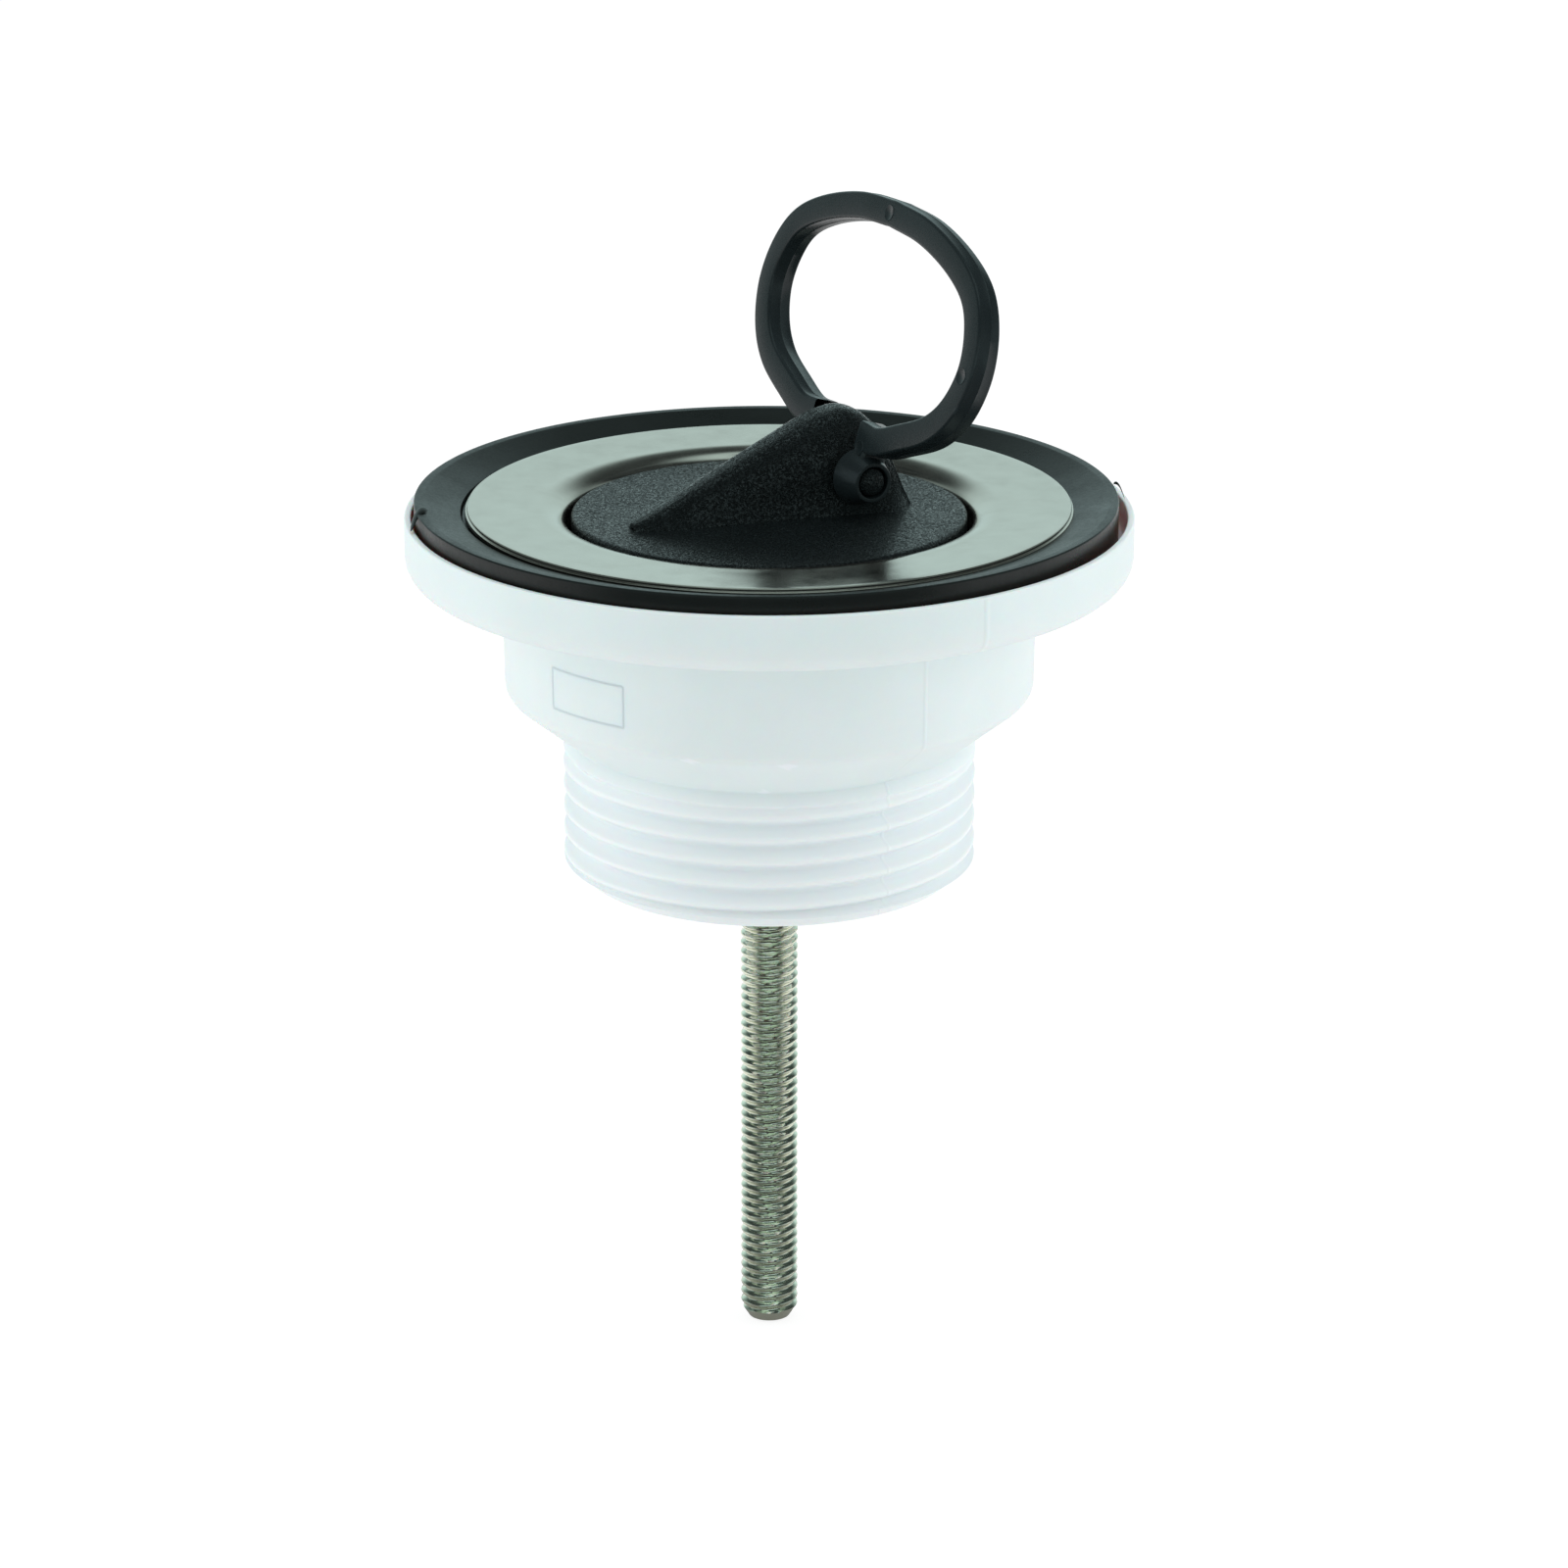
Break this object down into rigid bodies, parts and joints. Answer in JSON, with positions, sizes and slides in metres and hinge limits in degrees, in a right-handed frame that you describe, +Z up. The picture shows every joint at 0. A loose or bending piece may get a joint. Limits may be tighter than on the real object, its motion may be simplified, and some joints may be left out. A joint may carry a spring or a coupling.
{
  "type": "sink waste valve",
  "caption": "Sink waste with a pressed steel strainer flange, rubber gasket, long clamp screw, white threaded body and a lift-out black plug with a hinged pull ring.",
  "frame": {"origin": "on the waste's axis, in the plane of the steel flange's top", "axes": "+Z up along the waste's axis, +X and +Y across it, the viewer of the picture stands on the -Y side"},
  "size_m": [0.0732, 0.0732, 0.1183],
  "materials": {
    "white_plastic": "satin moulded",
    "brass": "machined",
    "black_rubber": "matt moulded",
    "stainless_sheet": "satin",
    "stainless_screw": "bright",
    "black_plastic": "fine grain",
    "seal_rubber": "matt moulded",
    "black_loop_plastic": "satin moulded"
  },
  "bodies": {
    "body": {"waste_body": "white_plastic", "captive_nut": "brass", "sink_gasket": "black_rubber"},
    "flange": {"strainer_flange": "stainless_sheet"},
    "screw": {"clamp_screw": "stainless_screw"},
    "seal": {"plug_seal": "seal_rubber"},
    "plug": {"plug": "black_plastic"},
    "ring": {"pull_ring": "black_loop_plastic"}
  },
  "joints": [
    {"name": "flange_lift", "type": "slide", "parent": "body", "child": "flange", "axis": [0, 0, 1], "range_m": [0, 0.065]},
    {"name": "screw_turn", "type": "hinge", "parent": "flange", "child": "screw", "pos_m": [0, 0, -0.0089], "axis": [0, 0, 1], "range_deg": [0, 23400]},
    {"name": "plug_lift", "type": "slide", "parent": "flange", "child": "seal", "axis": [0, 0, 1], "range_m": [0, 0.04]},
    {"name": "plug_turn", "type": "hinge", "parent": "seal", "child": "plug", "pos_m": [0, 0, -0.0009], "axis": [0, 0, 1], "continuous": true},
    {"name": "ring_swing", "type": "hinge", "parent": "plug", "child": "ring", "pos_m": [0.00673, 0.00343, 0.003], "axis": [-0.454, 0.891, 0], "range_deg": [-110, 76]}
  ],
  "couplings": [
    {"joint": "screw_turn", "follows": "flange_lift", "rad_per_m": 6283.2}
  ]
}
